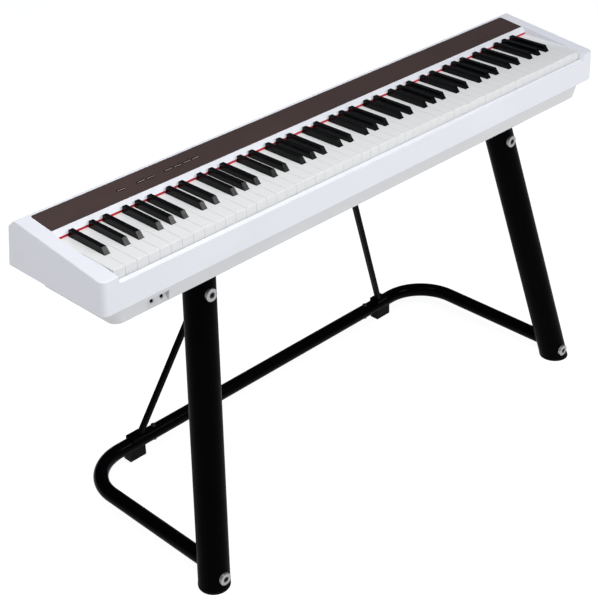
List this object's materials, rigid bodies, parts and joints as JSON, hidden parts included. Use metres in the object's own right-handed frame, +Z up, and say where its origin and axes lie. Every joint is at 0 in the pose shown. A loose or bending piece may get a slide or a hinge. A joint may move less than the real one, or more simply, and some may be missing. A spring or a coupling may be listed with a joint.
{
  "type": "digital piano on stand",
  "caption": "Slab digital piano with a full row of weighted keys, sloped rear panel and push buttons, on a tubular floor stand with splayed round legs.",
  "frame": {"origin": "on the floor, under the middle of the whole object", "axes": "+X along the keyboard towards the treble end, -Y towards the player, +Z up"},
  "size_m": [1.295, 0.4395, 0.6889],
  "materials": {
    "white_key": "semi-gloss",
    "black_key": "satin",
    "case_white": "fine satin",
    "case_grey": "matt",
    "panel_brown": "matt",
    "felt_red": "felt",
    "screw_steel": "zinc",
    "circuit_board": "solder mask",
    "button_black": "gloss",
    "chassis_steel": "galvanised",
    "rod_steel": "ground",
    "socket_plastic": "matt",
    "jack_grey": "matt",
    "speaker_paper": "paper",
    "stand_black": "satin powder coat",
    "foot_rubber": "matt",
    "spigot_steel": "plain",
    "washer_silver": "satin",
    "bolt_black": "black oxide"
  },
  "bodies": {
    "piano_body": {"upper_case": "case_white", "lower_case": "case_grey", "control_panel": "panel_brown", "felt_strip": "felt_red", "case_screws": "screw_steel", "button_board": "circuit_board", "main_board": "circuit_board", "contact_board": "circuit_board", "key_chassis": "chassis_steel", "chassis_posts": "chassis_steel", "hinge_rod": "rod_steel", "rear_sockets": "socket_plastic", "headphone_jack_1": "jack_grey", "headphone_jack_2": "jack_grey", "speaker_left": "speaker_paper", "speaker_right": "speaker_paper", "leg_tube_left": "stand_black", "leg_tube_right": "stand_black", "base_bend_left": "stand_black", "base_bend_right": "stand_black", "strut_bracket_left": "stand_black", "strut_bracket_right": "stand_black", "strut_left": "stand_black", "strut_right": "stand_black", "leg_bracket_left": "stand_black", "leg_bracket_right": "stand_black", "base_rear_tube": "stand_black", "rear_foot_left": "foot_rubber", "rear_foot_right": "foot_rubber", "leg_cap_left": "foot_rubber", "leg_cap_right": "foot_rubber", "base_spigot_left": "spigot_steel", "base_spigot_right": "spigot_steel", "leg_washers": "washer_silver", "leg_bolts": "bolt_black", "base_bolts": "bolt_black", "underside_screws": "bolt_black"},
    "key_c4": {"key_c4": "white_key"},
    "key_d4": {"key_d4": "white_key"},
    "key_e4": {"key_e4": "white_key"},
    "key_f4": {"key_f4": "white_key"},
    "key_g4": {"key_g4": "white_key"},
    "key_a4": {"key_a4": "white_key"},
    "key_b4": {"key_b4": "white_key"},
    "key_c4_sharp": {"key_c4_sharp": "black_key"},
    "key_d4_sharp": {"key_d4_sharp": "black_key"},
    "key_f4_sharp": {"key_f4_sharp": "black_key"},
    "key_g4_sharp": {"key_g4_sharp": "black_key"},
    "key_a4_sharp": {"key_a4_sharp": "black_key"},
    "keys_bass_white": {"keys_bass_white": "white_key"},
    "keys_treble_white": {"keys_treble_white": "white_key"},
    "keys_bass_black": {"keys_bass_black": "black_key"},
    "keys_treble_black": {"keys_treble_black": "black_key"},
    "button_1": {"button_1": "button_black"},
    "button_2": {"button_2": "button_black"},
    "button_3": {"button_3": "button_black"},
    "button_4": {"button_4": "button_black"},
    "button_5": {"button_5": "button_black"},
    "button_6": {"button_6": "button_black"},
    "button_7": {"button_7": "button_black"}
  },
  "joints": [
    {"name": "key_c4_press", "type": "hinge", "parent": "piano_body", "child": "key_c4", "pos_m": [0, 0.093, 0.654], "axis": [1, 0, 0], "range_deg": [0, 2.65], "stiffness_Nm_per_rad": 1.2, "springref_deg": -6.88},
    {"name": "key_d4_press", "type": "hinge", "parent": "piano_body", "child": "key_d4", "pos_m": [0, 0.093, 0.654], "axis": [1, 0, 0], "range_deg": [0, 2.65], "stiffness_Nm_per_rad": 1.2, "springref_deg": -6.88},
    {"name": "key_e4_press", "type": "hinge", "parent": "piano_body", "child": "key_e4", "pos_m": [0, 0.093, 0.654], "axis": [1, 0, 0], "range_deg": [0, 2.65], "stiffness_Nm_per_rad": 1.2, "springref_deg": -6.88},
    {"name": "key_f4_press", "type": "hinge", "parent": "piano_body", "child": "key_f4", "pos_m": [0, 0.093, 0.654], "axis": [1, 0, 0], "range_deg": [0, 2.65], "stiffness_Nm_per_rad": 1.2, "springref_deg": -6.88},
    {"name": "key_g4_press", "type": "hinge", "parent": "piano_body", "child": "key_g4", "pos_m": [0, 0.093, 0.654], "axis": [1, 0, 0], "range_deg": [0, 2.65], "stiffness_Nm_per_rad": 1.2, "springref_deg": -6.88},
    {"name": "key_a4_press", "type": "hinge", "parent": "piano_body", "child": "key_a4", "pos_m": [0, 0.093, 0.654], "axis": [1, 0, 0], "range_deg": [0, 2.65], "stiffness_Nm_per_rad": 1.2, "springref_deg": -6.88},
    {"name": "key_b4_press", "type": "hinge", "parent": "piano_body", "child": "key_b4", "pos_m": [0, 0.093, 0.654], "axis": [1, 0, 0], "range_deg": [0, 2.65], "stiffness_Nm_per_rad": 1.2, "springref_deg": -6.88},
    {"name": "key_c4_sharp_press", "type": "hinge", "parent": "piano_body", "child": "key_c4_sharp", "pos_m": [0, 0.093, 0.654], "axis": [1, 0, 0], "range_deg": [0, 2.65], "stiffness_Nm_per_rad": 1.2, "springref_deg": -6.88},
    {"name": "key_d4_sharp_press", "type": "hinge", "parent": "piano_body", "child": "key_d4_sharp", "pos_m": [0, 0.093, 0.654], "axis": [1, 0, 0], "range_deg": [0, 2.65], "stiffness_Nm_per_rad": 1.2, "springref_deg": -6.88},
    {"name": "key_f4_sharp_press", "type": "hinge", "parent": "piano_body", "child": "key_f4_sharp", "pos_m": [0, 0.093, 0.654], "axis": [1, 0, 0], "range_deg": [0, 2.65], "stiffness_Nm_per_rad": 1.2, "springref_deg": -6.88},
    {"name": "key_g4_sharp_press", "type": "hinge", "parent": "piano_body", "child": "key_g4_sharp", "pos_m": [0, 0.093, 0.654], "axis": [1, 0, 0], "range_deg": [0, 2.65], "stiffness_Nm_per_rad": 1.2, "springref_deg": -6.88},
    {"name": "key_a4_sharp_press", "type": "hinge", "parent": "piano_body", "child": "key_a4_sharp", "pos_m": [0, 0.093, 0.654], "axis": [1, 0, 0], "range_deg": [0, 2.65], "stiffness_Nm_per_rad": 1.2, "springref_deg": -6.88},
    {"name": "keys_bass_white_press", "type": "hinge", "parent": "piano_body", "child": "keys_bass_white", "pos_m": [0, 0.093, 0.654], "axis": [1, 0, 0], "range_deg": [0, 2.65], "stiffness_Nm_per_rad": 27.6, "springref_deg": -6.88},
    {"name": "keys_treble_white_press", "type": "hinge", "parent": "piano_body", "child": "keys_treble_white", "pos_m": [0, 0.093, 0.654], "axis": [1, 0, 0], "range_deg": [0, 2.65], "stiffness_Nm_per_rad": 26.4, "springref_deg": -6.88},
    {"name": "keys_bass_black_press", "type": "hinge", "parent": "piano_body", "child": "keys_bass_black", "pos_m": [0, 0.093, 0.654], "axis": [1, 0, 0], "range_deg": [0, 2.65], "stiffness_Nm_per_rad": 19.2, "springref_deg": -6.88},
    {"name": "keys_treble_black_press", "type": "hinge", "parent": "piano_body", "child": "keys_treble_black", "pos_m": [0, 0.093, 0.654], "axis": [1, 0, 0], "range_deg": [0, 2.65], "stiffness_Nm_per_rad": 18, "springref_deg": -6.88},
    {"name": "button_1_press", "type": "slide", "parent": "piano_body", "child": "button_1", "axis": [0, 0.124, -0.9923], "range_m": [0, 0.0012], "stiffness_N_per_m": 400, "springref_m": -0.002},
    {"name": "button_2_press", "type": "slide", "parent": "piano_body", "child": "button_2", "axis": [0, 0.124, -0.9923], "range_m": [0, 0.0012], "stiffness_N_per_m": 400, "springref_m": -0.002},
    {"name": "button_3_press", "type": "slide", "parent": "piano_body", "child": "button_3", "axis": [0, 0.124, -0.9923], "range_m": [0, 0.0012], "stiffness_N_per_m": 400, "springref_m": -0.002},
    {"name": "button_4_press", "type": "slide", "parent": "piano_body", "child": "button_4", "axis": [0, 0.124, -0.9923], "range_m": [0, 0.0012], "stiffness_N_per_m": 400, "springref_m": -0.002},
    {"name": "button_5_press", "type": "slide", "parent": "piano_body", "child": "button_5", "axis": [0, 0.124, -0.9923], "range_m": [0, 0.0012], "stiffness_N_per_m": 400, "springref_m": -0.002},
    {"name": "button_6_press", "type": "slide", "parent": "piano_body", "child": "button_6", "axis": [0, 0.124, -0.9923], "range_m": [0, 0.0012], "stiffness_N_per_m": 400, "springref_m": -0.002},
    {"name": "button_7_press", "type": "slide", "parent": "piano_body", "child": "button_7", "axis": [0, 0.124, -0.9923], "range_m": [0, 0.0012], "stiffness_N_per_m": 400, "springref_m": -0.002}
  ]
}
